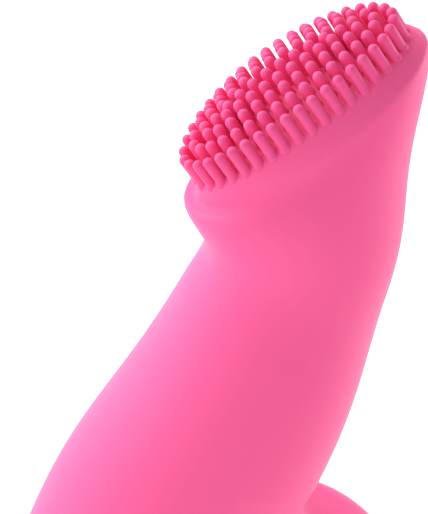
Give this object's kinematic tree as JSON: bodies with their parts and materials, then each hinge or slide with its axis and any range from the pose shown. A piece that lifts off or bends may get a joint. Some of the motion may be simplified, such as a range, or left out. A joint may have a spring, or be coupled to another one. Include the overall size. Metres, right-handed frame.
{
  "type": "finger toothbrush",
  "caption": "Soft silicone finger sleeve with a slanted oval brush head, a crowned pad of round-tipped bristles and a rounded knuckle hood.",
  "frame": {"origin": "centre of the finger opening, on the flat rim that the sleeve stands on", "axes": "+Z along the finger to the tip, -X the brush (palm) side, +X the nail side, +Y across"},
  "size_m": [0.0402, 0.0216, 0.0709],
  "materials": {
    "soft_silicone": "satin, soft-touch moulded silicone",
    "pad_silicone": "satin silicone under the bristles",
    "bristle_silicone": "satin silicone bristles with round tips"
  },
  "bodies": {
    "sleeve": {"finger_sleeve": "soft_silicone", "knuckle_hood": "soft_silicone", "grip_ribs": "soft_silicone", "flex_neck": "soft_silicone"},
    "head": {"brush_head": "soft_silicone", "bristle_pad": "pad_silicone"},
    "bristles": {"bristle_ring_1": "bristle_silicone", "bristle_ring_2": "bristle_silicone", "bristle_ring_3": "bristle_silicone", "bristle_ring_4": "bristle_silicone", "bristle_centre_row": "bristle_silicone"}
  },
  "joints": [
    {"name": "head_flex", "type": "hinge", "parent": "sleeve", "child": "head", "pos_m": [-0.00075, 0, 0.0448], "axis": [0, 1, 0], "range_deg": [-8, 8], "stiffness_Nm_per_rad": 0.2, "deforming": ["flex_neck"]},
    {"name": "bristle_flex", "type": "slide", "parent": "head", "child": "bristles", "axis": [0.4879, 0, 0.8729], "range_m": [-0.0009, 0.0009], "stiffness_N_per_m": 60, "deforming": ["bristle_ring_1", "bristle_ring_2", "bristle_ring_3", "bristle_ring_4", "bristle_centre_row"]}
  ]
}
